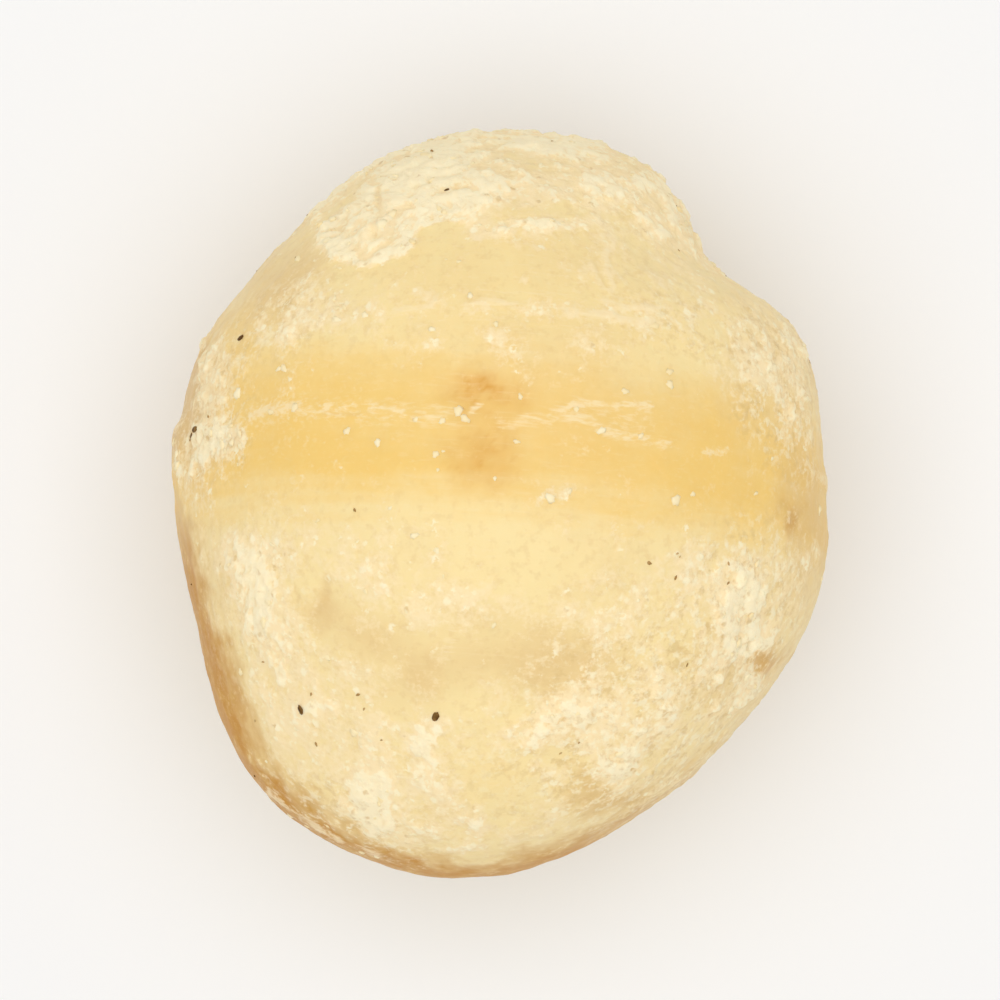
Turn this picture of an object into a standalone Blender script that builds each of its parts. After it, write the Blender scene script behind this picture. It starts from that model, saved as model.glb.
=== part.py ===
"""A whole macadamia kernel out of its shell, lying on its side with its seam upright.

Metres, +Z up. The origin is the middle of the small flat spot that the kernel rests on.
The kernel is one piece: two seed leaves grown together along a seam. It is shaped about the
middle of the seam in its own axes, where +Y points through the smaller seed leaf, and then
laid down on the flat spot.
"""

import math

import bmesh
import bpy
from mathutils import Euler, Vector, noise

MM = 0.001

# Driving dimensions, from the middle of the seam
HALF_WIDTH = 8.5 * MM
HALF_HEIGHT = 8.05 * MM
SMALL_LEAF = 8.6 * MM
LARGE_LEAF = 10.95 * MM

# How the kernel lies: the middle of the seam above the flat spot, and how the seam leans and turns
SEAM_MIDDLE = Vector((0.0, 1.0, 7.8)) * MM
SEAM_LEAN = math.radians(-8.0)
SEAM_TURN = math.radians(-4.5)

# The flattened belt along the seam, and the fine ridge in its middle
BELT_DEPTH = 0.14 * MM
BELT_SPREAD = math.radians(8.5)
RIDGE_HEIGHT = 0.06 * MM
RIDGE_SPREAD = math.radians(1.3)
RIDGE_LOOP = math.radians(1.6)

# The valley between the belt and the crown, at the right, top, left and bottom of the kernel
VALLEY_LATITUDE = [math.radians(degrees) for degrees in (46.5, 36.0, 38.0, 38.0)]
VALLEY_DEPTH = [depth * MM for depth in (1.10, 0.16, 0.50, 0.40)]
VALLEY_SPREAD = [math.radians(degrees) for degrees in (9.5, 9.0, 15.0, 12.0)]

# Swells and dents: azimuth round the seam from +X through the top, latitude towards the small
# leaf, height, and spread
FORMS = {
    "crown": (10.0, 73.0, 0.14, 12.0),
    "crown slope": (172.0, 50.0, -0.10, 13.0),
    "crown top flat": (80.0, 62.0, -0.14, 14.0),
    "right shoulder": (0.0, 15.0, -0.14, 9.0),
    "right cheek": (0.0, -18.0, 0.32, 12.0),
    "right flat": (2.0, -62.0, -0.42, 15.0),
    "left seam": (180.0, -6.0, 0.12, 8.0),
    "left waist": (180.0, -24.0, -0.17, 11.0),
    "left fullness": (182.0, -61.0, 0.48, 14.0),
    "upper swell": (108.0, -26.0, 0.14, 12.0),
    "upper dent": (78.0, -46.0, -0.16, 9.0),
    "radicle dimple": (94.0, 0.0, -0.13, 4.5),
    "under swell": (250.0, 30.0, 0.16, 14.0),
    "under hollow": (270.0, 9.0, -0.28, 9.0),
    "rest swell": (271.0, -8.0, 0.30, 12.0),
    "under dent": (232.0, -40.0, -0.22, 12.0),
    "hilum flat": (285.0, -58.0, -0.20, 16.0),
}

# Slow unevenness of the whole surface
WAVINESS = 0.07 * MM
WAVES_PER_RADIUS = 2.4
WAVE_PLACE = Vector((3.1, 7.4, 1.6))

GRID = 26


def round_the_seam(at_four_sides, azimuth):
    """A value that changes smoothly round the kernel, given at its right, top, left and bottom."""
    right, top, left, bottom = at_four_sides
    return (
        (right + top + left + bottom) / 4
        + (right - left) / 2 * math.cos(azimuth)
        + (top - bottom) / 2 * math.sin(azimuth)
        + (right - top + left - bottom) / 4 * math.cos(2 * azimuth)
    )


def bell(distance, spread):
    """1 at no distance, falling smoothly to 0 beyond about three spreads."""
    return math.exp(-((distance / spread) ** 2) / 2)


def egg(direction):
    """The radius of the plain egg: two half ellipsoids that meet at the seam."""
    half_length = SMALL_LEAF if direction.y > 0 else LARGE_LEAF
    scaled = Vector((direction.x / HALF_WIDTH, direction.y / half_length, direction.z / HALF_HEIGHT))
    return 1 / scaled.length


def seam_relief(latitude):
    """The belt's hollow and the ridge along its middle."""
    return RIDGE_HEIGHT * bell(latitude, RIDGE_SPREAD) - BELT_DEPTH * bell(latitude, BELT_SPREAD)


def valley_relief(azimuth, latitude):
    """The valley that sets the crown off from the belt, deepest at the right."""
    distance = latitude - round_the_seam(VALLEY_LATITUDE, azimuth)
    spread = round_the_seam(VALLEY_SPREAD, azimuth)
    return -round_the_seam(VALLEY_DEPTH, azimuth) * bell(distance, spread)


def form_relief(direction):
    """The sum of the swells and dents, each a soft bump round its own direction."""
    total = 0.0
    for azimuth, latitude, height, spread in FORMS.values():
        azimuth, latitude = math.radians(azimuth), math.radians(latitude)
        middle = Vector(
            (
                math.cos(latitude) * math.cos(azimuth),
                math.sin(latitude),
                math.cos(latitude) * math.sin(azimuth),
            )
        )
        total += height * MM * bell(direction.angle(middle), math.radians(spread))
    return total


def surface_point(direction):
    """Where the surface lies along a direction from the middle of the seam."""
    azimuth = math.atan2(direction.z, direction.x)
    latitude = math.asin(max(-1.0, min(1.0, direction.y)))
    radius = egg(direction) + seam_relief(latitude) + valley_relief(azimuth, latitude)
    radius += form_relief(direction)
    radius += WAVINESS * noise.noise(direction * WAVES_PER_RADIUS + WAVE_PLACE)
    return direction * radius


def direction_grid():
    """A cube's grid blown up to a ball of even cells, with an edge loop close to each side of the seam."""
    ball = bmesh.new()
    bmesh.ops.create_cube(ball, size=2.0)
    bmesh.ops.subdivide_edges(ball, edges=ball.edges[:], cuts=GRID - 1, use_grid_fill=True)
    for vertex in ball.verts:
        even = Vector([math.tan(along * math.pi / 4) for along in vertex.co])
        vertex.co = even.normalized()
    for side in (1, -1):
        bmesh.ops.bisect_plane(
            ball,
            geom=ball.verts[:] + ball.edges[:] + ball.faces[:],
            plane_co=(0.0, side * math.sin(RIDGE_LOOP), 0.0),
            plane_no=(0.0, 1.0, 0.0),
        )
    return ball


def flatten_underneath(body):
    """Cuts the kernel off level at z = 0 and closes the cut with the flat spot that it rests on."""
    bmesh.ops.bisect_plane(
        body,
        geom=body.verts[:] + body.edges[:] + body.faces[:],
        plane_co=(0.0, 0.0, 0.0),
        plane_no=(0.0, 0.0, 1.0),
        clear_inner=True,
    )
    rim = [edge for edge in body.edges if edge.is_boundary]
    bmesh.ops.contextual_create(body, geom=rim)


def build_kernel():
    """The kernel's closed mesh: the grid moved out to the surface, laid down and cut level where it rests."""
    body = direction_grid()
    lie_down = Euler((SEAM_LEAN, 0.0, SEAM_TURN)).to_matrix()
    for vertex in body.verts:
        vertex.co = lie_down @ surface_point(vertex.co.normalized()) + SEAM_MIDDLE
    flatten_underneath(body)
    bmesh.ops.triangulate(body, faces=body.faces[:])
    bmesh.ops.recalc_face_normals(body, faces=body.faces[:])
    mesh = bpy.data.meshes.new("kernel")
    body.to_mesh(mesh)
    body.free()
    mesh.shade_smooth()
    kernel = bpy.data.objects.new("kernel", mesh)
    bpy.context.scene.collection.objects.link(kernel)
    return kernel


def kernel_material():
    """Cream, waxy nut flesh."""
    material = bpy.data.materials.new("nut_flesh")
    material.use_nodes = True
    shader = material.node_tree.nodes["Principled BSDF"]
    shader.inputs["Base Color"].default_value = (0.86, 0.68, 0.36, 1.0)
    shader.inputs["Roughness"].default_value = 0.45
    shader.inputs["Metallic"].default_value = 0.0
    return material


def main():
    for obj in list(bpy.data.objects):
        bpy.data.objects.remove(obj)
    kernel = build_kernel()
    kernel.data.materials.append(kernel_material())


main()
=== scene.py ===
# %% [markdown]
# # A shelled macadamia kernel
# A macadamia kernel is one lump of oily, waxy flesh: two seed leaves grown together along a
# seam. Its shape is already settled in the solid that this scene loads. What is left is all
# that makes it look like a nut: the soft glow of the flesh, the amber belt along the seam, the
# brown spot of the germ, the pale ragged scuffs, crumbs, and the dark flecks of shell.

import math
import random

import bpy
import numpy as np
from mathutils import Euler, Matrix, Vector, noise


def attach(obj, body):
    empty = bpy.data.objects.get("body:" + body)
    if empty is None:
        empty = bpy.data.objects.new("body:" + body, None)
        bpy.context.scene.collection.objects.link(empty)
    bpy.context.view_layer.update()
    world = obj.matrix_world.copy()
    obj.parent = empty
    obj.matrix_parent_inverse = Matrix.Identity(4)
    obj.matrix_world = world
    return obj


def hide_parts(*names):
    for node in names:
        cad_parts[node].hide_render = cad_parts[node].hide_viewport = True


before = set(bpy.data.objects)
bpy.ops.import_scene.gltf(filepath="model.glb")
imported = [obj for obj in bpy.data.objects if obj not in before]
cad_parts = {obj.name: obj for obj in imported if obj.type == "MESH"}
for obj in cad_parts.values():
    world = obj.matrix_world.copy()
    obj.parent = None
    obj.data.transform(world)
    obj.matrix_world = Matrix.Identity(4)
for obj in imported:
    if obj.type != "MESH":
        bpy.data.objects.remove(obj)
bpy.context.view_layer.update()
kernel_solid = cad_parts["kernel"]

MM = 0.001

# %% [markdown]
# ## The camera
# The kernel was photographed from straight above, from well back, so it has next to no
# perspective. A long lens 400 mm up gives the same view. With no rotation a Blender camera looks
# straight down, with +Y at the top of the picture.

# %% Camera
CAMERA_DISTANCE = 400 * MM
SEEN_WIDTH = 26 * MM
SENSOR_WIDTH = 36.0
SEAM_HEIGHT = 7.8 * MM

bpy.ops.object.select_all(action="DESELECT")
bpy.ops.object.camera_add(location=(0.0, 0.0, CAMERA_DISTANCE + SEAM_HEIGHT), rotation=(0.0, 0.0, 0.0))
camera = bpy.context.object
camera.name = "overhead_camera"
camera.data.sensor_width = SENSOR_WIDTH
camera.data.lens = SENSOR_WIDTH * CAMERA_DISTANCE / SEEN_WIDTH
camera.data.clip_start = 10 * MM
camera.data.clip_end = 5.0
bpy.context.scene.camera = camera
print("lens, mm:", round(camera.data.lens))

# %% [markdown]
# ## Floor and light
# The real picture is a product shot on plain white, lit so softly that hardly a shadow is left.
# One large soft lamp overhead does most of it, and a pale sky fills in. The colours are shown as
# they are, with no film look laid over them.

# %% Floor, lamp and sky
FLOOR_SIDE = 1.2
FLOOR_WHITE = (0.92, 0.92, 0.92, 1.0)
FLOOR_ROUGHNESS = 0.9
LAMP_PLACE = Vector((-0.01, 0.0, 0.45))
LAMP_SIDE = 0.40
LAMP_POWER = 0.92
SKY_STRENGTH = 0.66

bpy.ops.mesh.primitive_plane_add(size=FLOOR_SIDE, location=(0.0, 0.0, 0.0))
floor = bpy.context.object
floor.name = "floor"
floor_paint = bpy.data.materials.new("plain_floor")
floor_paint.use_nodes = True
floor_shader = floor_paint.node_tree.nodes["Principled BSDF"]
floor_shader.inputs["Base Color"].default_value = FLOOR_WHITE
floor_shader.inputs["Roughness"].default_value = FLOOR_ROUGHNESS
floor.data.materials.append(floor_paint)

bpy.ops.object.light_add(type="AREA", location=LAMP_PLACE)
lamp = bpy.context.object
lamp.name = "soft_lamp"
lamp.rotation_euler = (-LAMP_PLACE).to_track_quat("-Z", "Y").to_euler()
lamp.data.size = LAMP_SIDE
lamp.data.energy = LAMP_POWER

sky = bpy.data.worlds.new("pale_sky")
sky.use_nodes = True
sky.node_tree.nodes["Background"].inputs["Color"].default_value = (1.0, 1.0, 1.0, 1.0)
sky.node_tree.nodes["Background"].inputs["Strength"].default_value = SKY_STRENGTH
bpy.context.scene.world = sky
bpy.context.scene.view_settings.view_transform = "Standard"

# %% [markdown]
# ## The skin
# The solid is made of flat facets half a millimetre across, too coarse for a waxy surface. So a
# fine skin is stretched over it. A ball that comes from a cube has even cells all over and no
# pinched poles, and it is turned so that one loop of its edges runs right along the seam. The
# ball is then shrunk onto a copy of the solid and smoothed, until no facet is left. Subdividing
# the solid itself is another way, but it would keep the solid's uneven triangles.

# %% Small tools for modelling
def select_only(piece):
    """Selects one object and makes it the active one."""
    bpy.ops.object.select_all(action="DESELECT")
    piece.select_set(True)
    bpy.context.view_layer.objects.active = piece


def add_and_apply(piece, kind, **settings):
    """Adds a modifier, sets it and applies it, as its panel and its Apply button would."""
    modifier = piece.modifiers.new(kind.lower(), kind)
    for name, value in settings.items():
        setattr(modifier, name, value)
    select_only(piece)
    bpy.ops.object.modifier_apply(modifier=modifier.name)


# %% A ball of even cells round the middle of the seam
SEAM_MIDDLE = Vector((0.0, 1.0, 7.8)) * MM
SEAM_TILT = Euler((math.radians(-8.0), 0.0, math.radians(-4.5)))
BALL_RADIUS = 8.5 * MM
CUBE_CUTS = 7
FINE_LEVELS = 4

bpy.ops.object.select_all(action="DESELECT")
bpy.ops.mesh.primitive_cube_add(size=2.0)
skin = bpy.context.object
skin.name = "kernel_skin"
bpy.ops.object.mode_set(mode="EDIT")
bpy.ops.mesh.select_all(action="SELECT")
bpy.ops.mesh.subdivide(number_cuts=CUBE_CUTS)
bpy.ops.object.mode_set(mode="OBJECT")
for vertex in skin.data.vertices:
    vertex.co = Vector([math.tan(along * math.pi / 4) for along in vertex.co]).normalized()
add_and_apply(skin, "SUBSURF", levels=FINE_LEVELS, render_levels=FINE_LEVELS)
skin.location = SEAM_MIDDLE
skin.rotation_euler = SEAM_TILT
skin.scale = (BALL_RADIUS, BALL_RADIUS, BALL_RADIUS)
bpy.ops.object.transform_apply(location=True, rotation=True, scale=True)
print("skin:", len(skin.data.polygons), "faces")

# %% Shrink it onto a merged copy of the solid
MERGE_WITHIN = 0.001 * MM
SMOOTH_PASSES = 24

guide = kernel_solid.copy()
guide.data = kernel_solid.data.copy()
guide.parent = None
bpy.context.scene.collection.objects.link(guide)
select_only(guide)
bpy.ops.object.mode_set(mode="EDIT")
bpy.ops.mesh.select_all(action="SELECT")
bpy.ops.mesh.remove_doubles(threshold=MERGE_WITHIN)
bpy.ops.object.mode_set(mode="OBJECT")

add_and_apply(
    skin,
    "SHRINKWRAP",
    target=guide,
    wrap_method="PROJECT",
    use_negative_direction=True,
    use_positive_direction=True,
)
add_and_apply(skin, "SMOOTH", factor=0.5, iterations=SMOOTH_PASSES)
bpy.data.objects.remove(guide)

# %% [markdown]
# ## A map of the skin
# Everything that follows is placed by a map: for each point of the skin, its place in
# millimetres as seen from above, and its longitude and latitude round the seam. Latitude 0 is
# the seam, and the crown is at +90 degrees. Seeded noise in several sizes makes every edge
# ragged, as nothing on a nut ends in a clean line. A texture could be painted by hand instead,
# but a map keeps each mark as a place and a size that can be read and changed.

# %% Places, longitude and latitude
def read_vertices(piece, what):
    """The points or the normals of a mesh, one row each."""
    values = np.empty(3 * len(piece.data.vertices))
    piece.data.vertices.foreach_get(what, values)
    return values.reshape(-1, 3)


places = read_vertices(skin, "co") / MM
normals = read_vertices(skin, "normal")
to_right, to_crown, height = places.T
from_middle = (places - np.array(SEAM_MIDDLE) / MM) @ np.array(SEAM_TILT.to_matrix())
latitude = np.degrees(np.arcsin(from_middle[:, 1] / np.linalg.norm(from_middle, axis=1)))
longitude = np.degrees(np.arctan2(from_middle[:, 2], from_middle[:, 0]))
print("latitude from", latitude.min().round(), "to", latitude.max().round())


# %% Noise in several sizes
def ramp(value, low, high):
    """0 below low, 1 above high, and smooth between them."""
    along = np.clip((value - low) / (high - low), 0.0, 1.0)
    return along * along * (3.0 - 2.0 * along)


def cloud(size, seed, octaves=3):
    """Noise of about -1 to 1 all over the skin, with lumps of this size in millimetres."""
    shift = Vector((17.31, -9.17, 5.73)) * seed
    return np.array([noise.fractal(Vector(place) / size + shift, 0.7, 2.0, octaves) for place in places])


broad = cloud(2.6, 1, 2)
medium = cloud(1.1, 2)
small = cloud(0.45, 3)
tiny = cloud(0.22, 4, 2)
print("spread of the noises:", [round(float(n.std()), 2) for n in (broad, medium, small, tiny)])

# %% The side that the picture shows, and the side that it hides
in_picture = ramp(height + 0.9 * broad + 0.5 * medium, 4.8, 8.0)
high_up = ramp(height + 0.5 * medium, 6.8, 8.2)
hidden_side = 1.0 - ramp(height + 1.2 * broad, 2.5, 8.0)

ragged_x = to_right + 0.30 * cloud(1.3, 5) + 0.10 * cloud(0.4, 6)
ragged_y = to_crown + 0.30 * cloud(1.3, 7) + 0.10 * cloud(0.4, 8)
line_x = to_right + 0.10 * cloud(0.8, 13, 2)
line_y = to_crown + 0.10 * cloud(0.8, 14, 2)
ragged_latitude = latitude + 1.6 * cloud(2.4, 9) + 0.8 * small


# %% Blots and strokes, drawn on the side seen from above
def blot(x, y, wide, high, turn=0.0, edge=0.4):
    """A ragged patch, in millimetres and degrees: 1 inside it and 0 outside. A larger edge is softer."""
    c, s = math.cos(math.radians(turn)), math.sin(math.radians(turn))
    dx, dy = ragged_x - x, ragged_y - y
    away = np.hypot((c * dx + s * dy) / wide, (c * dy - s * dx) / high)
    return (1.0 - ramp(away, 1.0 - edge, 1.0 + edge)) * in_picture


def blots(patches):
    """The sum of several patches, each given as strength, x, y, half width, half height, turn, edge."""
    total = np.zeros(len(places))
    for strength, *where in patches:
        total += strength * blot(*where)
    return total


def stroke(points, half_width):
    """A thin ragged line through these places: 1 on it and 0 off it."""
    away = np.full(len(places), 100.0)
    for (x0, y0), (x1, y1) in zip(points, points[1:]):
        run, rise = x1 - x0, y1 - y0
        along = ((line_x - x0) * run + (line_y - y0) * rise) / (run ** 2 + rise ** 2)
        along = np.clip(along, 0.0, 1.0)
        away = np.minimum(away, np.hypot(line_x - x0 - along * run, line_y - y0 - along * rise))
    return (1.0 - ramp(away, 0.4 * half_width, 1.6 * half_width)) * high_up


def strokes(lines):
    """The strongest of several lines, each given as strength, half width and its places."""
    total = np.zeros(len(places))
    for strength, half_width, *points in lines:
        total = np.maximum(total, strength * stroke(points, half_width))
    return total


# %% [markdown]
# ## Where the flesh is amber, tan or brown
# The flesh is cream where it is dry and opaque, and amber where it is oily and clear. The amber
# lies in a belt along the seam, drawn out in streaks. In its middle, at the top, is the germ:
# two soft brown lobes. Soft tan clouds lie on the big dome. The rim is painted brown where it
# turns under at the left and low: partly roasted flesh, partly painted shade. What belongs to
# the seam goes by latitude, so it runs on round the hidden side.
# What the picture shows in one place only is a patch at that place.

# %% The amber belt and the clear places
STREAK_WIDTH = 2.2
STREAK_TURNS = 1.3
BELT_RISES = (-21.0, -11.5)
BELT_FALLS = (6.5, 15.5)
CORE_RISES = (-14.0, -9.0)
CORE_FALLS = (2.0, 8.0)
CLEAR_PLACES = (
    (-0.08, 2.4, 3.5, 1.9, 0.6, 0.0, 0.8),
    (-0.06, 2.2, 0.4, 1.8, 0.5, 0.0, 0.8),
    (0.20, 0.6, 4.7, 3.4, 0.7, 0.0, 0.9),
    (0.16, 5.6, 2.3, 1.1, 0.8, -15.0, 0.8),
    (0.12, -4.6, 1.2, 1.7, 0.6, 0.0, 0.7),
    (0.18, 5.6, 0.4, 1.1, 0.5, -15.0, 0.7),
    (0.11, -0.5, 6.2, 3.4, 0.9, 0.0, 0.6),
    (0.30, -5.9, 4.7, 1.2, 0.5, 35.0, 0.7),
    (0.14, -0.4, -7.2, 0.75, 0.50, -20.0, 0.8),
    (0.35, -6.9, 4.4, 0.55, 0.55, 0.0, 0.8),
    (0.14, 0.6, 3.7, 4.5, 0.7, 0.0, 0.8),
)

around = np.radians(longitude)
streak_places = (latitude / STREAK_WIDTH, STREAK_TURNS * np.cos(around), STREAK_TURNS * np.sin(around))
streaks = np.array([noise.fractal(Vector(place), 0.6, 2.2, 3) for place in zip(*streak_places)])
wandering = ragged_latitude + 2.0 * streaks
belt = ramp(wandering, *BELT_RISES) * (1.0 - ramp(wandering, *BELT_FALLS))
belt_core = ramp(wandering, *CORE_RISES) * (1.0 - ramp(wandering, *CORE_FALLS))
amber = 0.66 * belt + 0.24 * belt_core + 0.13 * belt * streaks
amber += blots(CLEAR_PLACES)
amber += hidden_side * (0.55 + 0.6 * broad)
amber = np.clip(amber + 0.08 * medium, 0.0, 1.0)
print("share of amber:", amber.mean().round(2))

# %% Tan clouds
TAN_ON_THE_DOME = (
    (0.60, 1.3, -4.15, 1.9, 0.9, -8.0, 0.8),
    (0.55, -4.65, -2.85, 0.48, 0.36, -20.0, 0.8),
    (0.30, -3.6, -3.3, 1.1, 0.50, -20.0, 0.9),
    (0.22, -1.9, -3.95, 1.4, 0.60, -10.0, 0.9),
    (0.25, -1.9, -4.4, 0.45, 0.6, 0.0, 0.8),
    (0.28, -2.0, -4.8, 1.3, 0.6, 10.0, 0.8),
    (0.25, -0.6, -2.9, 0.9, 0.4, 0.0, 0.8),
    (0.30, -1.5, -7.9, 0.5, 0.4, 0.0, 0.8),
    (0.30, 1.5, -5.8, 0.5, 0.6, 0.0, 0.7),
    (0.30, -0.4, -1.7, 0.22, 0.10, -15.0, 0.6),
    (0.25, 0.15, -1.8, 0.18, 0.10, 20.0, 0.6),
)
# Round the edge the tan is partly the flesh's own and partly painted shade where the sides turn away.
TAN_AND_SHADE_ROUND_THE_EDGE = (
    (0.50, -8.0, 2.6, 0.4, 1.6, 0.0, 0.8),
    (0.60, -8.0, 2.4, 0.6, 1.6, 0.0, 0.8),
    (0.35, -7.7, 2.8, 0.6, 1.5, 0.0, 0.8),
    (0.55, -5.7, 5.6, 1.3, 0.8, 45.0, 0.8),
    (0.30, -7.35, -2.7, 0.45, 1.7, 0.0, 0.8),
    (0.30, 7.0, 3.2, 1.2, 1.2, -45.0, 0.8),
    (0.12, 8.1, 0.9, 0.6, 1.5, 0.0, 0.8),
    (0.40, 7.9, -1.2, 0.7, 1.9, 0.0, 0.8),
    (0.40, 6.2, -4.6, 1.2, 1.6, 45.0, 0.8),
    (0.25, 6.3, -4.4, 0.45, 0.4, 0.0, 0.8),
)
TAN_OVER_THE_BELT = ((0.22, 1.6, 2.9, 3.2, 2.6, 0.0, 0.8),)

tan = blots(TAN_ON_THE_DOME + TAN_AND_SHADE_ROUND_THE_EDGE + TAN_OVER_THE_BELT)
tan += 0.35 * ramp(broad, 0.0, 0.6) * hidden_side + (0.16 * broad + 0.08 * medium) * (1.0 - belt)
tan = np.clip(tan, 0.0, 1.0)

# %% The rim painted brown at the left and low, partly roasted and partly painted shade, and a few roasted spots
TOASTED_SPOTS = (
    (0.52, 7.45, -0.45, 0.27, 0.36, 0.0, 0.7),
    (0.10, 7.8, 0.2, 0.6, 1.1, 0.0, 0.8),
    (0.62, 6.85, -4.15, 0.50, 0.32, 20.0, 0.9),
    (-0.30, -8.3, 1.7, 0.7, 1.5, 0.0, 0.9),
    (0.46, 2.9, -7.75, 0.75, 0.38, 10.0, 0.9),
    (0.34, 2.0, -7.25, 0.42, 0.45, 0.0, 0.9),
    (0.14, 0.45, 8.3, 0.35, 0.22, 0.0, 0.8),
)

away_from_crown = 1.0 - ramp(to_crown, 3.5, 6.5)
left_and_low = ramp(-0.8 * to_right - 0.5 * to_crown, -2.0, 3.0)
low_left = ramp(-0.70 * to_right - 0.71 * to_crown, 3.0, 7.5)
corner = ramp(-0.75 * to_right - 0.66 * to_crown, 6.8, 8.8)
below_seam = 1.0 - 0.85 * ramp(to_crown + 1.2 * broad + 0.6 * medium, -2.4, 1.4)

upward = normals[:, 2]
facing_up = upward + 0.10 * medium + 0.06 * small + 0.05 * broad
turn_ends = 0.14 + 0.04 * low_left + 0.10 * corner
turn_starts = 0.37 + 0.05 * low_left + 0.22 * corner
turned_under = 1.0 - ramp(facing_up, turn_ends, turn_starts)
still_seen = ramp(upward + 0.36 * broad + 0.24 * medium + 0.14 * small, -0.50, 0.03)
fading_down = 0.16 + 0.84 * ramp(upward + 0.15 * broad, -0.34, 0.05)
patchy = np.clip(0.92 + 0.30 * broad + 0.40 * medium + 0.30 * small, 0.3, 1.1)
patchy = 1.0 - (1.0 - patchy) * (1.0 - ramp(upward, -0.25, 0.10))

# The rim's brown where it turns under is partly roasted flesh and partly painted shade.
toast_and_shade = (0.95 + 0.05 * low_left) * turned_under * away_from_crown * left_and_low
toast_and_shade *= (0.06 + 0.94 * still_seen) * patchy * below_seam * fading_down
toast_and_shade += 0.30 * corner * still_seen * (1.0 - ramp(facing_up, 0.10, 0.46))
toast_and_shade += 0.25 * turned_under * (broad + 0.5 * medium)
toast_and_shade = np.clip(toast_and_shade + blots(TOASTED_SPOTS), 0.0, 1.0)
print("share toasted:", toast_and_shade.mean().round(2))

# %% The two brown lobes of the germ
GERM_LOBES = (
    (0.62, -0.42, 2.80, 0.85, 0.52, 0.0, 0.95),
    (0.48, -0.45, 1.22, 0.72, 0.68, 0.0, 0.95),
)

germ = np.clip(blots(GERM_LOBES) * (0.85 + 0.35 * small + 0.55 * ramp(tiny, 0.1, 0.6)), 0.0, 1.0)

# %% [markdown]
# ## Where it is frosted
# A kernel is knocked about as its shell is cracked, so the clear outer layer is torn and
# powdered. The frosted places are on the crown, on both shoulders, in a broken line along the
# seam and in faint clouds on the dome. The belt itself stays nearly clean. Noise alone would
# frost the nut evenly, so patches set where it is thick, and noise only tears their edges.

# %% Frosted patches on the crown and at the two sides
FROST_AND_RIM_LIGHT_ON_THE_CROWN = (
    (0.30, 0.8, 8.6, 3.2, 1.0, 0.0, 0.4),
    (0.20, 3.4, 7.6, 1.2, 0.8, -20.0, 0.5),
    (0.20, 4.7, 7.0, 0.9, 1.6, 30.0, 0.5),
    # The thin strips along the crown's right and top rim are partly frosting and partly painted light,
    # against the shade of the turned-away rim.
    (0.20, 4.7, 7.5, 0.35, 1.2, 35.0, 0.6),
    (0.26, 0.6, 9.4, 3.0, 0.35, 0.0, 0.6),
    (0.20, 0.6, 5.7, 0.4, 0.15, 10.0, 0.6),
    (0.25, 2.2, 4.8, 2.8, 0.35, 0.0, 0.6),
)
FROST_AT_THE_LEFT = (
    (0.22, -4.7, 4.7, 1.2, 0.45, 15.0, 0.6),
    (0.22, -6.2, 3.6, 1.0, 0.6, 0.0, 0.6),
    (0.36, -7.4, 2.6, 0.70, 1.8, 0.0, 0.5),
    (0.34, -7.1, 1.5, 0.75, 0.40, 0.0, 0.5),
    (0.45, -8.2, 1.2, 0.50, 0.65, 0.0, 0.5),
    (0.40, -6.3, -1.7, 1.0, 0.9, 0.0, 0.6),
    (0.25, -6.1, -2.4, 0.35, 0.9, 0.0, 0.6),
    (0.22, -5.9, -3.5, 0.7, 1.1, 0.0, 0.6),
    (0.22, -5.3, -4.6, 0.45, 0.3, 0.0, 0.6),
    (0.24, -4.9, -5.2, 1.6, 1.2, 0.0, 0.8),
    (0.14, -5.0, -5.4, 1.3, 0.9, 0.0, 0.8),
)
FROST_AT_THE_RIGHT = (
    (0.12, 5.3, 4.0, 0.9, 0.5, -20.0, 0.8),
    (0.36, 6.9, 3.2, 1.3, 1.5, -45.0, 0.5),
    (0.26, 7.8, 1.9, 0.6, 0.8, 0.0, 0.6),
    (0.18, 8.1, 0.7, 0.4, 0.7, 0.0, 0.6),
    (0.24, 5.2, -1.9, 1.2, 0.8, 0.0, 0.7),
    (0.20, 6.6, -2.6, 1.0, 1.6, 0.0, 0.7),
    (0.26, 6.5, -2.4, 0.5, 0.35, 0.0, 0.5),
    (0.22, 6.1, -3.2, 0.4, 0.9, 0.0, 0.6),
    (0.32, 6.4, -3.6, 0.45, 0.9, 10.0, 0.5),
    (0.28, 6.45, -4.75, 0.4, 0.3, 0.0, 0.5),
    (0.32, 6.3, -4.6, 1.1, 1.3, 45.0, 0.6),
)

frost = blots(FROST_AND_RIM_LIGHT_ON_THE_CROWN + FROST_AT_THE_LEFT + FROST_AT_THE_RIGHT)

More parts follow.
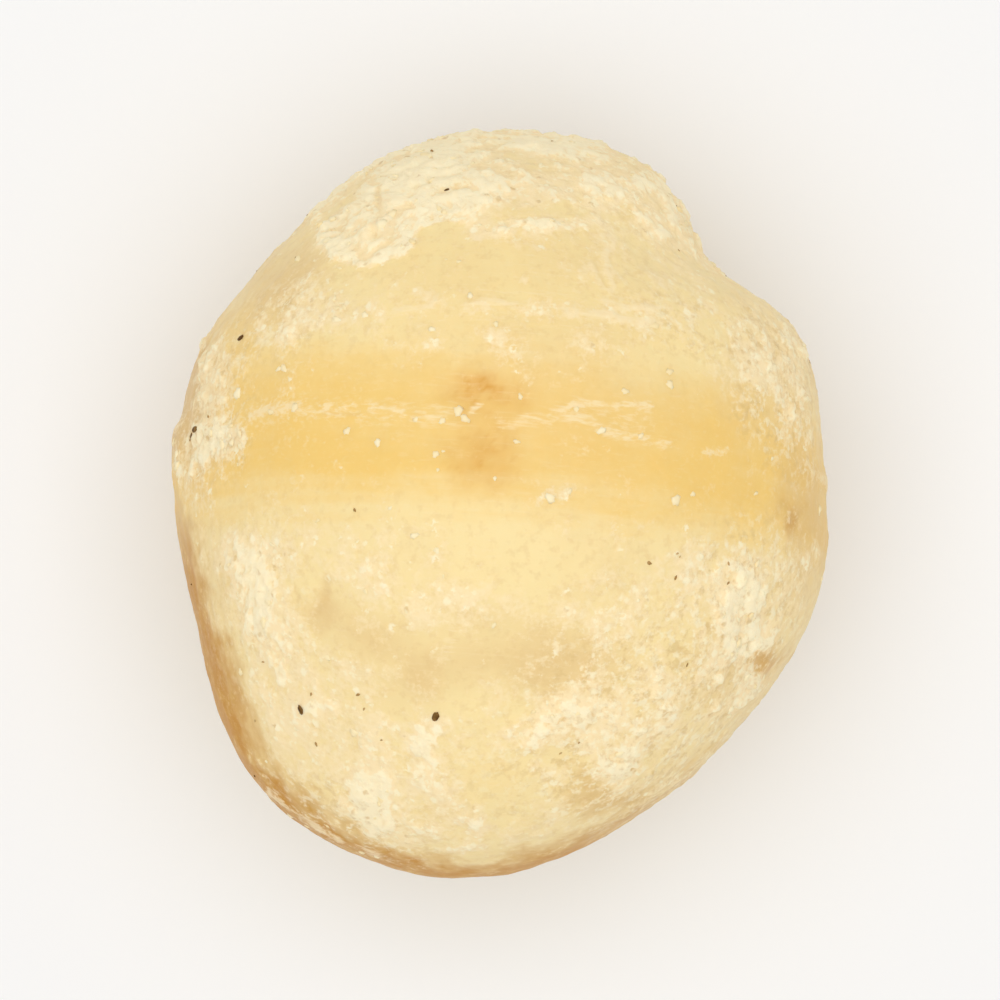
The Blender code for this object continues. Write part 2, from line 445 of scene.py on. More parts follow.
# %% Frosted patches on the dome, and the cleaner places, with a negative strength
FROST_ON_THE_DOME = (
    (0.22, -3.9, -2.0, 0.7, 0.35, 20.0, 0.6),
    (0.20, -3.2, -1.5, 1.1, 0.7, 0.0, 0.7),
    (0.14, -3.2, -1.4, 0.4, 0.4, 0.0, 0.7),
    (0.16, -1.5, -2.6, 1.6, 0.7, 0.0, 0.7),
    (0.28, -2.6, -8.2, 1.4, 1.1, -20.0, 0.6),
    (0.26, -2.8, -6.5, 1.7, 0.9, 0.0, 0.8),
    (0.10, -2.2, -6.7, 1.0, 0.8, 0.0, 0.8),
    (0.50, -3.4, -7.6, 0.5, 0.7, 0.0, 0.5),
    (0.26, -3.3, -8.3, 0.7, 0.35, -20.0, 0.6),
    (0.52, -2.1, -5.95, 0.42, 0.38, 0.0, 0.5),
    (0.36, -1.95, -6.6, 0.42, 0.45, 0.0, 0.5),
    (0.50, -0.55, -8.35, 0.6, 0.22, 25.0, 0.5),
    (0.50, -1.0, -9.15, 0.7, 0.2, 0.0, 0.6),
    (0.30, 0.3, -9.0, 0.9, 0.35, 10.0, 0.6),
    (0.30, 0.6, -6.0, 0.6, 0.5, 0.0, 0.6),
    (0.26, 0.9, -6.9, 0.45, 0.3, 0.0, 0.6),
    (0.14, 4.0, -3.9, 1.3, 0.9, 0.0, 0.8),
    (0.22, 3.2, -6.4, 2.6, 2.0, -30.0, 0.6),
    (0.25, 3.1, -6.6, 0.5, 0.4, 0.0, 0.6),
)
FROST_ON_THE_BELT = (
    (0.55, 1.55, 0.15, 0.50, 0.20, 12.0, 0.6),
    (0.55, -0.48, 1.72, 0.17, 0.32, 0.0, 0.7),
)
CLEANER_PLACES = (
    (-0.28, 0.8, 7.55, 1.2, 0.35, 0.0, 0.6),
    (-0.14, 0.5, 8.4, 1.2, 0.5, 0.0, 0.7),
    (-0.22, -0.8, 6.1, 3.0, 0.7, 0.0, 0.4),
    (-0.16, -5.8, 5.7, 1.2, 0.8, 45.0, 0.7),
    (-0.30, -6.9, 4.4, 0.5, 0.5, 0.0, 0.7),
    (-0.25, -8.05, 2.7, 0.3, 1.0, 0.0, 0.7),
    (-0.20, -0.5, 2.0, 1.2, 1.4, 0.0, 0.6),
    (-0.22, 0.2, -1.3, 4.2, 0.9, 0.0, 0.5),
    (-0.28, -3.4, -3.35, 1.3, 0.55, -28.0, 0.8),
    (-0.16, -1.9, -3.95, 1.3, 0.55, -10.0, 0.8),
    (-0.18, 1.4, -4.1, 1.5, 0.8, 0.0, 0.7),
    (-0.10, -0.4, -7.3, 0.8, 0.45, -20.0, 0.7),
    (-0.25, 2.0, -7.25, 0.45, 0.45, 0.0, 0.8),
    (-0.34, 3.0, -7.75, 0.80, 0.40, 10.0, 0.8),
    (-0.18, 6.3, -4.4, 0.45, 0.4, 0.0, 0.8),
    (-0.65, 6.9, -4.15, 0.46, 0.30, 20.0, 0.7),
    (-0.35, 7.45, -0.4, 0.32, 0.42, 0.0, 0.7),
    (-0.25, 7.8, 0.1, 0.6, 1.0, 0.0, 0.7),
)

frost += blots(FROST_ON_THE_DOME + FROST_ON_THE_BELT + CLEANER_PLACES)

# %% The torn edge of the crown's frosting, and how thick it all lies, from 0 to 1
CROWN_EDGE = (
    (-4.6, 6.6), (-3.5, 6.1), (-2.5, 6.45), (-2.1, 6.95), (-1.4, 7.3),
    (-1.1, 7.1), (-0.8, 6.75), (1.4, 6.9), (2.6, 7.1), (3.4, 7.0),
)

edge_x, edge_y = zip(*CROWN_EDGE)
past_edge = ragged_y - np.interp(ragged_x, edge_x, edge_y)
crown_sides = ramp(ragged_x + 1.4 * broad + 0.5 * medium, -5.4, -4.1) * (1.0 - ramp(ragged_x, 2.2, 3.4))
above_edge = ramp(past_edge, -0.12, 0.14) * crown_sides * ramp(height + 1.2 * broad, 5.0, 8.5)
frost += above_edge * (0.14 + 0.44 * (1.0 - ramp(ragged_x, -1.6, -0.2))) * in_picture
frost += 0.28 * above_edge * (1.0 - ramp(past_edge, 0.12, 0.35)) * in_picture
frost += 0.20 * in_picture + hidden_side * (0.16 + 0.30 * ramp(broad, -0.1, 0.4))
# The frosting is taken off where the rim turns under, so that the painted shade there stays brown.
frost -= 0.8 * (0.35 + 0.65 * low_left) * turned_under * away_from_crown * in_picture
frost -= 0.30 * belt * (1.0 - ramp(np.abs(to_right), 6.0, 7.6)) * in_picture
frost = np.clip(frost + 0.20 * broad + 0.26 * medium + 0.12 * small, 0.0, 1.0)
film = ramp(frost + 0.15 * small + 0.10 * tiny, 0.62, 0.78)
print("mean frosting:", frost.mean().round(2), "share under torn film:", film.mean().round(2))

# %% Where the frosting is grainy with meal
GRAINY_PLACES = (
    (1.0, 3.8, -5.4, 3.4, 2.6, 35.0, 0.5),
    (0.9, 6.4, -2.4, 1.6, 1.8, 0.0, 0.5),
    (0.9, 7.3, 2.8, 1.2, 2.2, 10.0, 0.5),
    (0.7, 4.8, 4.6, 1.8, 0.8, -20.0, 0.6),
    (0.6, -7.4, 2.4, 1.0, 2.0, 0.0, 0.5),
    (0.5, -7.1, 1.5, 0.7, 0.5, 0.0, 0.5),
    (0.7, -5.4, 4.6, 1.4, 0.9, 20.0, 0.6),
    (0.35, 3.4, 7.4, 1.6, 1.2, -20.0, 0.6),
    (0.7, -4.2, -8.2, 2.2, 0.8, -30.0, 0.6),
    (0.5, -6.2, -2.8, 1.2, 2.2, 0.0, 0.7),
    (0.4, -1.5, -7.6, 3.0, 1.6, 0.0, 0.7),
)

grainy = np.clip(blots(GRAINY_PLACES) + hidden_side * (0.35 + 0.6 * broad), 0.0, 1.0)

# %% [markdown]
# ## Threads, scratches and folds
# Pale threads run along the seam, where the two seed leaves meet. The crown has a few scratches
# and some fine wrinkles below it, and its torn film lies in folds. Each is a line through a few
# places, drawn with a ragged pen. Curves would give cleaner lines, but real ones fade and fray.

# %% The pale threads of the seam, and scratches
SEAM_THREADS = (
    (1.0, 0.13, (-6.4, 2.2), (-5.9, 2.28), (-5.2, 2.36)),
    (0.7, 0.10, (-5.2, 2.28), (-4.4, 2.2), (-3.8, 2.3)),
    (0.9, 0.07, (-4.5, 2.38), (-3.8, 2.38)),
    (1.0, 0.10, (-3.4, 2.42), (-2.9, 2.28), (-2.4, 2.12)),
    (0.6, 0.12, (-2.6, 2.1), (-1.4, 2.12)),
    (0.9, 0.08, (-0.74, 2.24), (-0.46, 2.46)),
    (0.35, 0.34, (-6.5, 2.2), (-5.3, 2.3), (-3.0, 2.2), (-1.3, 2.15)),
    (0.55, 0.14, (0.0, 1.97), (1.3, 2.05)),
    (1.0, 0.10, (1.3, 2.25), (1.95, 2.4), (2.6, 2.45), (3.8, 2.38)),
    (0.8, 0.12, (1.4, 2.2), (2.35, 2.0), (2.7, 1.76), (3.6, 1.65), (4.3, 1.42)),
    (0.3, 0.30, (1.9, 2.2), (3.5, 2.0)),
    (0.8, 0.08, (5.25, 1.15), (5.8, 1.3)),
)
SCRATCHES = (
    (1.00, 0.08, (-6.0, -7.5), (-5.4, -8.0), (-4.8, -8.42), (-4.1, -8.82)),
    (0.90, 0.10, (-3.55, -9.05), (-3.1, -9.2)),
    (1.00, 0.08, (2.95, 6.7), (2.7, 6.3), (2.78, 5.9), (2.95, 5.5)),
    (0.80, 0.06, (2.3, 6.1), (2.6, 5.6), (2.95, 5.2)),
    (0.90, 0.08, (-2.7, 4.88), (-1.7, 4.96)),
    (1.00, 0.09, (-0.9, 4.93), (-0.3, 5.15), (0.4, 5.02)),
    (0.90, 0.08, (2.6, 5.1), (4.1, 4.9)),
    (1.00, 0.09, (2.1, 4.75), (3.9, 4.6)),
    (0.80, 0.06, (7.40, -0.25), (7.44, -0.62)),
    (0.60, 0.05, (7.62, -0.25), (7.64, -0.6)),
    (0.90, 0.13, (-2.85, 7.75), (-3.1, 7.1), (-3.5, 6.6)),
    (0.40, 0.16, (-1.2, -3.4), (-1.4, -4.0), (-1.55, -4.6)),
    (0.50, 0.13, (-5.6, -2.1), (-5.35, -2.8), (-4.9, -3.2)),
)
RAY_STRETCH = Matrix.Diagonal((1 / 0.28, 1 / 2.6, 1 / 2.6))

out_of_picture = 1.0 - ramp(height, 9.0, 11.0)
seam_wander = 0.9 * cloud(1.7, 10, 2) + 0.5 * small
seam_width = np.maximum(1.0 + 0.7 * medium, 0.35)
thread = 1.0 - ramp(np.abs(latitude + seam_wander), 0.3 * seam_width, 1.9 * seam_width)
thread *= ramp(small + 0.5 * medium + 0.6 * streaks, -0.9, 0.15) * out_of_picture
thread = np.maximum(thread, strokes(SEAM_THREADS))
thread = np.maximum(thread, strokes(SCRATCHES)) * ramp(small + 0.5 * medium, -1.3, -0.2)
rays = np.array([noise.fractal(RAY_STRETCH @ Vector(place), 0.7, 2.0, 2) for place in places])
wrinkles = ramp(streaks, 0.12, 0.40) * blot(1.8, 4.85, 3.2, 0.7, 0.0, 0.6)
wrinkles += ramp(rays, 0.05, 0.50) * blot(2.5, 6.1, 2.0, 1.1, 0.0, 0.6)
thread = np.clip(thread + 0.30 * wrinkles, 0.0, 1.0)
print("share of threads and scratches:", thread.mean().round(3))

# %% Folds of the torn film
FOLDS = (
    (0.35, 0.05, (2.45, 6.2), (2.72, 5.6), (3.05, 5.25)),
    (1.0, 0.08, (-3.05, 8.0), (-3.1, 7.5), (-3.25, 6.8)),
    (0.7, 0.12, (-4.44, -2.0), (-4.5, -2.4), (-4.75, -2.8)),
    (0.6, 0.06, (-4.5, 2.2), (-3.7, 2.15)),
    (0.6, 0.10, (-3.9, 7.6), (-4.1, 7.0), (-3.8, 6.5)),
)

fold_lines = (1.0 - ramp(np.abs(cloud(1.3, 12)), 0.0, 0.07)) * ramp(frost, 0.35, 0.7)
folds = np.clip(np.maximum(0.8 * fold_lines, strokes(FOLDS)), 0.0, 1.0)

# %% [markdown]
# ## Relief
# The skin has soft swells like hammered metal, the frosting has a torn, crumbly top, the germ is
# a shallow dimple, and the seam is a fine raised thread. These are real movements of the mesh, a
# few hundredths of a millimetre each, so they catch the light from any side. A displace
# modifier reads one texture, while moving the points in code lets every map add its own share.
# The flat spot underneath stays flat, and nothing goes below the floor.

# %% Move the skin along its normals, by amounts in millimetres
MARGIN_LUMP = (-8.3, 1.25, 9.0)

relief = 0.050 * broad + 0.028 * medium + 0.009 * small + 0.004 * tiny
relief += 0.05 * blot(-4.7, -2.5, 1.0, 0.8, 0.0, 0.5) - 0.11 * blot(-4.6, -2.6, 0.55, 0.40, 0.0, 0.8)
from_lump = np.linalg.norm(places - MARGIN_LUMP, axis=1)
relief += 0.14 * (1.0 - ramp(from_lump + 0.3 * small, 0.2, 1.3))
relief += frost * (0.012 + 0.024 * medium + 0.044 * small + 0.036 * tiny)
relief += grainy * (0.010 * small + 0.010 * tiny)
relief += 0.03 * thread + 0.010 * streaks * belt - 0.05 * germ
relief += film * (0.030 + 0.024 * small + 0.018 * tiny) - 0.05 * folds
relief *= ramp(height, 0.02, 0.5)
moved = places + relief[:, None] * normals
moved[:, 2] = np.maximum(moved[:, 2], 0.0)
skin.data.vertices.foreach_set("co", (moved * MM).ravel())
skin.data.update()
select_only(skin)
bpy.ops.object.shade_smooth()
print("relief, mm:", relief.min().round(3), "to", relief.max().round(3))

# %% Keep the map on the mesh, for the material
skin_maps = {
    "amber": amber,
    "tan": tan,
    "toast_and_shade": toast_and_shade,
    "germ": germ,
    "frost": frost,
    "thread": thread,
    "film": film,
    "folds": folds,
    "grainy": grainy,
}
for name, values in skin_maps.items():
    attribute = skin.data.attributes.new(name, "FLOAT", "POINT")
    attribute.data.foreach_set("value", values.astype(np.float32))

# %% [markdown]
# ## The flesh
# The material reads those maps and adds what is finer than the mesh: grain, crumbs of frosting
# and pores. Light goes a little way into the flesh, so its shadows glow. The clear amber is half
# glossy, and the frosted places are matt. A painted picture would blur from close by, but a
# pattern worked out from the place stays sharp at any distance.

# %% Small tools for materials
MIX_SHARE, MIX_FIRST, MIX_SECOND, MIX_RESULT = 0, 6, 7, 2


def start_material(name):
    """A new node material, and its tree."""
    material = bpy.data.materials.new(name)
    material.use_nodes = True
    return material, material.node_tree


def add_node(tree, kind, inputs=(), **settings):
    """Adds a node, sets it, and fills or links its inputs, given as a dict by name or number."""
    node = tree.nodes.new(kind)
    for name, value in settings.items():
        setattr(node, name, value)
    for socket, value in dict(inputs).items():
        if isinstance(value, bpy.types.NodeSocket):
            tree.links.new(value, node.inputs[socket])
        else:
            node.inputs[socket].default_value = value
    return node


def mix_colours(tree, share, first, second):
    """The first colour, turned into the second by share. A Mix node has its colours at these numbers."""
    inputs = {MIX_SHARE: share, MIX_FIRST: first, MIX_SECOND: second}
    return add_node(tree, "ShaderNodeMix", inputs, data_type="RGBA").outputs[MIX_RESULT]


def calculate(tree, operation, first, second=0.0):
    """One sum of two numbers."""
    return add_node(tree, "ShaderNodeMath", {0: first, 1: second}, operation=operation).outputs[0]


def add_share(tree, value, more, share):
    """The value plus a share of more."""
    return calculate(tree, "ADD", value, calculate(tree, "MULTIPLY", more, share))


def threshold(tree, value, low, high, start=0.0, end=1.0):
    """start below low, end above high, and smooth between them."""
    inputs = {"Value": value, "From Min": low, "From Max": high, "To Min": start, "To Max": end}
    return add_node(tree, "ShaderNodeMapRange", inputs, interpolation_type="SMOOTHSTEP").outputs[0]


def noise_of_size(tree, coordinates, size, detail=2.0, roughness=0.5, output="Fac"):
    """Noise with lumps of this size in millimetres."""
    inputs = {"Vector": coordinates, "Scale": 1.0 / (size * MM), "Detail": detail, "Roughness": roughness}
    return add_node(tree, "ShaderNodeTexNoise", inputs).outputs[output]


def warp(tree, coordinates, size, reach):
    """The coordinates, pushed about by noise of this size, as far as reach, both in millimetres."""
    colours = noise_of_size(tree, coordinates, size, 1.0, output="Color")
    inputs = {0: colours, 1: (0.5, 0.5, 0.5)}
    push = add_node(tree, "ShaderNodeVectorMath", inputs, operation="SUBTRACT").outputs[0]
    inputs = {0: push, 1: (2 * reach * MM,) * 3, 2: coordinates}
    return add_node(tree, "ShaderNodeVectorMath", inputs, operation="MULTIPLY_ADD").outputs[0]


def cells_of_size(tree, coordinates, size):
    """Cells of this size in millimetres: a draw from 0 to 1 for each, and the way from its middle."""
    cells = add_node(tree, "ShaderNodeTexVoronoi", {"Vector": coordinates, "Scale": 1.0 / (size * MM)})
    lot = add_node(tree, "ShaderNodeSeparateColor", {0: cells.outputs["Color"]}).outputs[0]
    return lot, cells.outputs["Distance"]


def grains(tree, cells, reach, density):
    """Loose grains, one to a cell, in a share of the cells: density."""
    lot, from_middle = cells
    drawn = threshold(tree, calculate(tree, "SUBTRACT", density, lot), 0.0, 0.12)
    shape = threshold(tree, from_middle, 0.4 * reach, reach, 1.0, 0.0)
    return calculate(tree, "MULTIPLY", drawn, shape)


def paint(red, green, blue):
    """A colour given as it looks on a screen, from 0 to 255, as Blender wants it."""
    linear = [((c / 255 + 0.055) / 1.055) ** 2.4 for c in (red, green, blue)]
    return (*linear, 1.0)


# %% Colour of the flesh
CREAM = paint(249, 225, 165)
CLEAR_AMBER = paint(246, 206, 120)
SOFT_TAN = paint(229, 194, 134)
# These roasted browns also paint the shade on the rim where it turns under.
ROAST_AND_SHADE_BROWN = paint(203, 143, 42)
LIGHT_ROAST_AND_SHADE = paint(216, 168, 82)
GERM_BROWN = paint(222, 158, 62)
MOTTLE_SIZE = 0.9
SPECKLE_SIZE = 0.28
GRAIN_SIZE = 0.15

flesh, tree = start_material("nut_flesh")
shader = tree.nodes["Principled BSDF"]
here = add_node(tree, "ShaderNodeTexCoord").outputs["Object"]
maps = {
    name: add_node(tree, "ShaderNodeAttribute", attribute_name=name).outputs["Fac"]
    for name in skin_maps
}
mottle = noise_of_size(tree, here, MOTTLE_SIZE, 3.0, 0.62)
grain = noise_of_size(tree, here, GRAIN_SIZE, 3.0, 0.6)
mottle_shift = threshold(tree, mottle, 0.25, 0.75, -0.5, 0.5)
grain_shift = threshold(tree, grain, 0.25, 0.75, -0.5, 0.5)

amber_share = add_share(tree, maps["amber"], mottle_shift, 0.16)
amber_share = add_share(tree, amber_share, grain_shift, 0.10)
speckle = threshold(tree, noise_of_size(tree, here, SPECKLE_SIZE, 2.0, 0.65), 0.48, 0.72, 0.0, 0.30)
toasted_and_shaded = mix_colours(tree, threshold(tree, mottle, 0.46, 0.74), ROAST_AND_SHADE_BROWN, LIGHT_ROAST_AND_SHADE)
colour = mix_colours(tree, speckle, CREAM, SOFT_TAN)
colour = mix_colours(tree, amber_share, colour, CLEAR_AMBER)
colour = mix_colours(tree, maps["tan"], colour, SOFT_TAN)
colour = mix_colours(tree, maps["toast_and_shade"], colour, toasted_and_shaded)
colour = mix_colours(tree, maps["germ"], colour, GERM_BROWN)

# %% Frosting: a soft cloudy layer, and the torn film on it
FROSTING = paint(253, 231, 185)
CHALK = paint(255, 243, 207)

frosting = add_share(tree, maps["frost"], mottle_shift, 0.42)
frosting = add_share(tree, frosting, grain_shift, 0.40)
under_layer = threshold(tree, maps["frost"], 0.15, 0.8, 0.0, 0.22)
soft_layer = threshold(tree, frosting, 0.10, 0.70, 0.0, 0.9)
# In the folds the frosting thins and the colour darkens to tan: painted shade in their creases.
soft_layer = calculate(tree, "MULTIPLY", soft_layer, threshold(tree, maps["folds"], 0.0, 1.0, 1.0, 0.45))
film_edge = add_share(tree, maps["film"], grain_shift, 0.5)
film_share = threshold(tree, film_edge, 0.3, 0.8, 0.0, 0.66)
film_share = calculate(tree, "MULTIPLY", film_share, threshold(tree, maps["folds"], 0.0, 1.0, 1.0, 0.3))
colour = mix_colours(tree, under_layer, colour, SOFT_TAN)
colour = mix_colours(tree, calculate(tree, "MULTIPLY", maps["folds"], 0.60), colour, SOFT_TAN)
colour = mix_colours(tree, soft_layer, colour, FROSTING)
colour = mix_colours(tree, film_share, colour, CHALK)

# %% Crumbs, pores and meal dust finer than the mesh
PORE = paint(214, 178, 116)
COARSE_CRUMB = 0.34
FINE_CRUMB = 0.17
WORN_SIZE = 0.34
DUST_SIZE = 0.30

crumbly = warp(tree, here, 0.12, 0.06)
crumb_density = threshold(tree, frosting, 0.10, 0.95, 0.02, 0.75)
coarse_cells = cells_of_size(tree, crumbly, COARSE_CRUMB)
coarse_crumbs = grains(tree, coarse_cells, 0.46, crumb_density)
fine_crumbs = grains(tree, cells_of_size(tree, crumbly, FINE_CRUMB), 0.55, crumb_density)
crumb_cover = calculate(tree, "MAXIMUM", coarse_crumbs, calculate(tree, "MULTIPLY", fine_crumbs, 0.7))
last_lots = (calculate(tree, "SUBTRACT", 1.0, coarse_cells[0]), coarse_cells[1])
pores = grains(tree, last_lots, 0.32, calculate(tree, "MULTIPLY", crumb_density, 0.40))
worn = threshold(tree, noise_of_size(tree, here, WORN_SIZE, 3.0, 0.65), 0.49, 0.67, 0.0, 0.45)
meal_dust = threshold(tree, noise_of_size(tree, here, DUST_SIZE, 3.0, 0.65), 0.49, 0.69)
dust_share = calculate(tree, "MULTIPLY", calculate(tree, "MULTIPLY", meal_dust, 0.6), maps["grainy"])
colour = mix_colours(tree, calculate(tree, "MULTIPLY", worn, maps["grainy"]), colour, PORE)
colour = mix_colours(tree, calculate(tree, "MULTIPLY", pores, 0.55), colour, PORE)
colour = mix_colours(tree, dust_share, colour, CHALK)
colour = mix_colours(tree, calculate(tree, "MULTIPLY", crumb_cover, 0.75), colour, CHALK)

# %% Fibres in the threads, drawn out along the seam
FIBRE_STRETCH = 7.0
FIBRE_WIDTH = 0.10

along_seam = {
    "Vector": here,
    "Location": SEAM_MIDDLE,
    "Rotation": SEAM_TILT,
    "Scale": (FIBRE_STRETCH, 1.0, 1.0),
}
along_seam = add_node(tree, "ShaderNodeMapping", along_seam, vector_type="TEXTURE").outputs[0]
fibres = threshold(tree, noise_of_size(tree, along_seam, FIBRE_WIDTH, 3.0, 0.6), 0.3, 0.7, -0.5, 0.5)
thread_share = threshold(tree, add_share(tree, maps["thread"], fibres, 0.8), 0.10, 1.25, 0.0, 0.75)
colour = mix_colours(tree, thread_share, colour, FROSTING)

# %% Gloss, glow and fine bumps
NUT_OIL_IOR = 1.46
SHINE = 0.18
GLOW = 0.30
SINK_IN = (1.0, 0.55, 0.25)
SINK_DEPTH = 0.9 * MM
BUMP_DEPTH = 0.02 * MM
BUMP_STRENGTH = 0.6
CLEAR_ROUGHNESS = 0.42
FROSTED_ROUGHNESS = 0.80

rough = calculate(tree, "MAXIMUM", soft_layer, crumb_cover)
tree.links.new(colour, shader.inputs["Base Color"])
rough = threshold(tree, rough, 0.0, 1.0, CLEAR_ROUGHNESS, FROSTED_ROUGHNESS)
tree.links.new(rough, shader.inputs["Roughness"])
shader.inputs["IOR"].default_value = NUT_OIL_IOR
shader.inputs["Specular IOR Level"].default_value = SHINE
shader.subsurface_method = "BURLEY"
shader.inputs["Subsurface Weight"].default_value = GLOW
shader.inputs["Subsurface Radius"].default_value = SINK_IN
shader.inputs["Subsurface Scale"].default_value = SINK_DEPTH
fine_height = calculate(tree, "MULTIPLY", grain, threshold(tree, maps["frost"], 0.0, 0.8, 0.25, 1.2))
flakes = calculate(tree, "MULTIPLY", meal_dust, threshold(tree, maps["frost"], 0.1, 0.7, 0.0, 0.9))
fine_height = calculate(tree, "ADD", fine_height, flakes)
bump_inputs = {"Strength": BUMP_STRENGTH, "Distance": BUMP_DEPTH, "Height": fine_height}
bump = add_node(tree, "ShaderNodeBump", bump_inputs)
tree.links.new(bump.outputs["Normal"], shader.inputs["Normal"])
skin.data.materials.append(flesh)
print("nodes in the flesh:", len(tree.nodes))

# %% [markdown]
# ## Crumbs and flecks
# Cracking leaves meal behind, so crumbs of flesh stick to the oily skin, thickest where it is
# frosted. Here and there is a dark splinter of the shell. Painted dots would lie flat, and a
# particle system would have to be turned into meshes in the end. So a few small pebbles are
# modelled and roughened, and copies of them are turned, resized and pressed into the skin.

# %% One crumb or splinter, as a pattern
def rough_pebble(name, seed, roughness):
    """A small ball with its points pushed about."""
    bpy.ops.object.select_all(action="DESELECT")
    bpy.ops.mesh.primitive_ico_sphere_add(subdivisions=2, radius=1.0)
    pebble = bpy.context.object
    pebble.name = name
    bpy.ops.object.mode_set(mode="EDIT")
    bpy.ops.mesh.select_all(action="SELECT")
    bpy.ops.transform.vertex_random(offset=roughness, uniform=0.6, normal=0.5, seed=seed)
    bpy.ops.object.mode_set(mode="OBJECT")
    return pebble


# %% Press copies of it into the skin
def stand_on(normal):
    """A turn that puts Z along the normal, and keeps X to the picture's right."""
    right = Vector((0.0, 1.0, 0.0)).cross(normal).normalized()
    return Matrix((right, normal.cross(right), normal)).transposed().to_4x4()


def press_in(pattern, name, spots, depth):
    """Copies the pattern to each spot: vertex number, length, width, height and turn, in mm and degrees.

    The depth is the share of a copy's height that is below the skin.
    """
    copies = []
    for number, long, wide, high, turn in spots:
        vertex = skin.data.vertices[number]
        copied = pattern.copy()
        copied.data = pattern.data.copy()
        bpy.context.scene.collection.objects.link(copied)
        stand = stand_on(vertex.normal)
        turned = Matrix.Rotation(math.radians(turn), 4, "Z")
        size = Matrix.Diagonal((long * MM / 2, wide * MM / 2, high * MM / 2, 1.0))
        foot = vertex.co + vertex.normal * (0.5 - depth) * high * MM
        copied.data.transform(Matrix.Translation(foot) @ stand @ turned @ size)
        copies.append(copied)
    bpy.ops.object.select_all(action="DESELECT")
    for copied in copies:
        copied.select_set(True)
    bpy.context.view_layer.objects.active = copies[0]
    bpy.ops.object.join()
    bpy.ops.object.shade_smooth()
    joined = bpy.context.object
    joined.name = name
    bpy.data.objects.remove(pattern)
    return joined


# %% Find the place on the skin that is seen from above
UPPER_SIDE = 7.0


def nearest_on_top(x, y):
    """The vertex of the skin that is seen at this place from above."""
    seen = places[:, :2] * (CAMERA_DISTANCE / (CAMERA_DISTANCE + SEAM_HEIGHT - places[:, 2:] * MM))
    away = np.hypot(seen[:, 0] - x, seen[:, 1] - y) + 100.0 * (height < UPPER_SIDE)
    return int(away.argmin())


# %% Crumbs: the ones that the picture shows, and more where the frosting is thick
CRUMB_COUNT = 330
CRUMB_SEED = 11
SUNK_CRUMB = 0.72
CRUMB_LENGTH = 0.15
LONGEST_CRUMB = 0.34
CLEAR_OF_FLOOR = 0.6
SEEN_CRUMBS = (
    (3.3, 2.85), (4.43, 3.36), (4.4, 3.02), (5.04, 0.14), (4.57, 0.04), (6.7, 0.17), (0.47, 1.55),
    (-4.0, 1.77), (-3.2, 1.47), (-6.8, 2.8), (-5.75, 3.37), (-5.6, 3.39), (-1.07, 2.27), (-0.95, 2.08),
    (-0.15, 4.6), (-4.25, 5.25), (-4.2, 4.95), (-4.25, 4.65), (-7.0, 1.5), (-7.2, 1.3), (1.3, 0.1),
    (1.8, 0.25), (1.95, 2.4), (2.6, 1.8), (3.63, 1.65), (-5.9, 2.3), (-5.3, 2.36), (-8.3, 1.2),
    (-8.35, 1.5), (-8.3, 0.9), (-6.1, -7.9), (-7.45, 1.72), (-7.02, 1.66), (-6.72, 1.74), (-7.22, 1.42),
    (-6.8, 1.38), (6.2, -3.1), (6.3, -3.7), (6.1, -4.0), (6.5, -4.6), (-5.5, -8.2), (-5.0, -8.5),
    (-4.5, -8.75), (-4.0, -9.0), (-3.6, -9.2), (-3.2, -9.3), (5.4, -4.9), (3.1, -6.6),
)

draw = random.Random(CRUMB_SEED)
spots = []
for x, y in SEEN_CRUMBS:
    long = draw.uniform(0.18, 0.32)
    wide = long * draw.uniform(0.5, 0.9)
    high = long * draw.uniform(0.45, 0.6)
    spots.append((nearest_on_top(x, y), long, wide, high, draw.uniform(0, 360)))
weights = 0.04 + frost ** 2 * (height > CLEAR_OF_FLOOR)
for number in draw.choices(range(len(places)), weights=weights.tolist(), k=CRUMB_COUNT):
    long = min(draw.lognormvariate(math.log(CRUMB_LENGTH), 0.35), LONGEST_CRUMB)
    if height[number] > CLEAR_OF_FLOOR:
        wide = long * draw.uniform(0.5, 0.95)
        high = long * draw.uniform(0.35, 0.6)
        spots.append((number, long, wide, high, draw.uniform(0, 360)))
crumbs = press_in(rough_pebble("crumb_pattern", 3, 0.24), "crumbs", spots, SUNK_CRUMB)
print("crumbs:", len(spots), "with", len(crumbs.data.polygons), "faces")

# %% Flecks of shell, dark ones and faint ones, each given as x, y, length and turn
DARK_FLECKS = (
    (-6.72, 4.22, 0.27, 15), (-7.85, 1.82, 0.30, 0), (-5.19, -5.40, 0.27, 112), (-1.68, -5.66, 0.29, 62),
    (-8.03, 1.68, 0.26, 10), (-1.4, 8.1, 0.16, 10),
)
FAINT_FLECKS = (
    (-8.1, 1.6, 0.12, 20), (-3.8, -0.3, 0.12, 120), (-4.9, -5.1, 0.14, 60), (-4.79, -6.35, 0.15, 95),
    (-6.16, -4.18, 0.12, 0), (3.9, -1.64, 0.18, 160), (4.6, -1.4, 0.11, 20), (4.53, -2.06, 0.14, 70),
    (5.94, -2.15, 0.13, 40), (5.94, -1.64, 0.12, 110), (1.6, -6.6, 0.12, 45), (-7.6, 2.15, 0.10, 130),
    (-3.72, -5.05, 0.14, 20), (-3.55, -5.4, 0.11, 60), (-3.1, -6.25, 0.09, 0), (-6.4, -5.75, 0.12, 30),
    (4.66, -1.46, 0.08, 60), (8.05, 3.6, 0.14, 100), (2.1, -6.3, 0.10, 45), (4.9, -4.3, 0.12, 80),
)
DARK_COUNT = 12
FAINT_COUNT = 36
FLECK_HEIGHT = 0.05
SHORTEST_FLECK = 0.08
FLECKED_HEIGHTS = (0.8, 11.0)


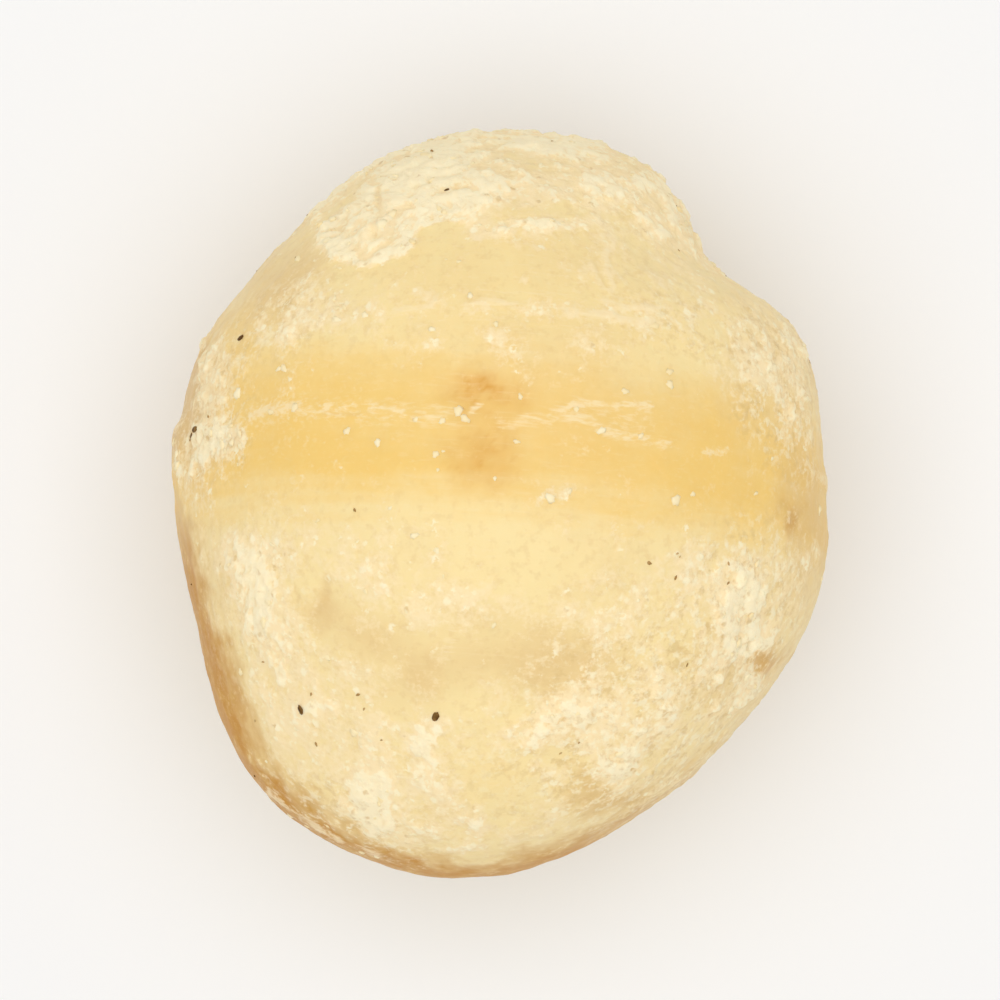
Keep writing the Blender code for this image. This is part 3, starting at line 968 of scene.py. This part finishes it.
def scatter_flecks(seen, count, seed, longest):
    """The flecks that the picture shows, and count more on the sides, as spots for press_in."""
    draw = random.Random(seed)
    spots = []
    for x, y, long, turn in seen:
        spots.append((nearest_on_top(x, y), long, long * draw.uniform(0.4, 0.6), FLECK_HEIGHT, turn))
    while len(spots) < len(seen) + count:
        number = draw.randrange(len(places))
        long = SHORTEST_FLECK + (longest - SHORTEST_FLECK) * draw.random() ** 2
        if FLECKED_HEIGHTS[0] < height[number] < FLECKED_HEIGHTS[1]:
            wide = long * draw.uniform(0.35, 0.6)
            spots.append((number, long, wide, FLECK_HEIGHT, draw.uniform(0, 360)))
    return spots


dark_spots = scatter_flecks(DARK_FLECKS, DARK_COUNT, 5, 0.26)
dark_flecks = press_in(rough_pebble("dark_pattern", 8, 0.2), "dark_flecks", dark_spots, 0.45)
faint_spots = scatter_flecks(FAINT_FLECKS, FAINT_COUNT, 6, 0.18)
faint_flecks = press_in(rough_pebble("faint_pattern", 9, 0.2), "faint_flecks", faint_spots, 0.6)
print("flecks:", len(dark_spots), "dark and", len(faint_spots), "faint")

# %% What they are made of
def speckled_material(name, noise_size, first, second, roughness, shine):
    """A matt material of two colours that blend in soft spots of this size."""
    material, tree = start_material(name)
    shader = tree.nodes["Principled BSDF"]
    here = add_node(tree, "ShaderNodeTexCoord").outputs["Object"]
    share = threshold(tree, noise_of_size(tree, here, noise_size, 3.0), 0.3, 0.7)
    tree.links.new(mix_colours(tree, share, first, second), shader.inputs["Base Color"])
    shader.inputs["Roughness"].default_value = roughness
    shader.inputs["Specular IOR Level"].default_value = shine
    return material


nut_meal = speckled_material("nut_meal", 0.7, paint(254, 240, 200), paint(250, 228, 176), 0.85, 0.2)
shell_splinter = speckled_material("shell_splinter", 0.25, paint(92, 62, 24), paint(146, 110, 58), 0.6, 0.1)
shell_dust = speckled_material("shell_dust", 0.6, paint(158, 120, 66), paint(212, 176, 120), 0.7, 0.1)
crumbs.data.materials.append(nut_meal)
dark_flecks.data.materials.append(shell_splinter)
faint_flecks.data.materials.append(shell_dust)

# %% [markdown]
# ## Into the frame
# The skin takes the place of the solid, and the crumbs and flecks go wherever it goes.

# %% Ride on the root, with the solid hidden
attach(skin, "root")
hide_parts("kernel")
for bits in (crumbs, dark_flecks, faint_flecks):
    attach(bits, "root")
